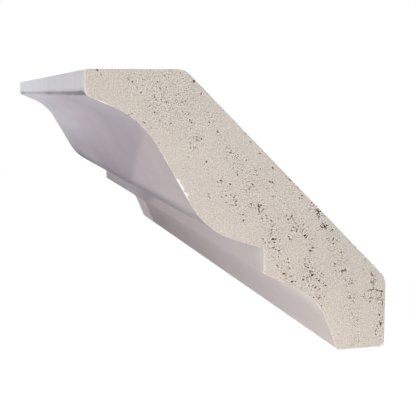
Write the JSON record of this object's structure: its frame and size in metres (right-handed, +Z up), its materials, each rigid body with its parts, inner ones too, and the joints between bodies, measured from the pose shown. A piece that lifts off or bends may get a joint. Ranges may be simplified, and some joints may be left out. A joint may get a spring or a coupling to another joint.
{
  "type": "crown moulding piece",
  "caption": "Short straight run of crown moulding: fascia, cove, belly, square step and foot cove in front, flat sloping back, ends cut square.",
  "frame": {"origin": "middle of the flat wall strip, halfway along the length, on the plane of the wall", "axes": "+X along the length, +Y square to the wall and into it, +Z up towards the ceiling; the moulded face looks to -Y and down"},
  "size_m": [0.305, 0.089, 0.0825],
  "materials": {
    "primed_wood": "matte off-white primer over wood; the sawn ends are pitted where open grain took the coat"
  },
  "bodies": {
    "root": {"crown_moulding": "primed_wood"}
  },
  "joints": []
}
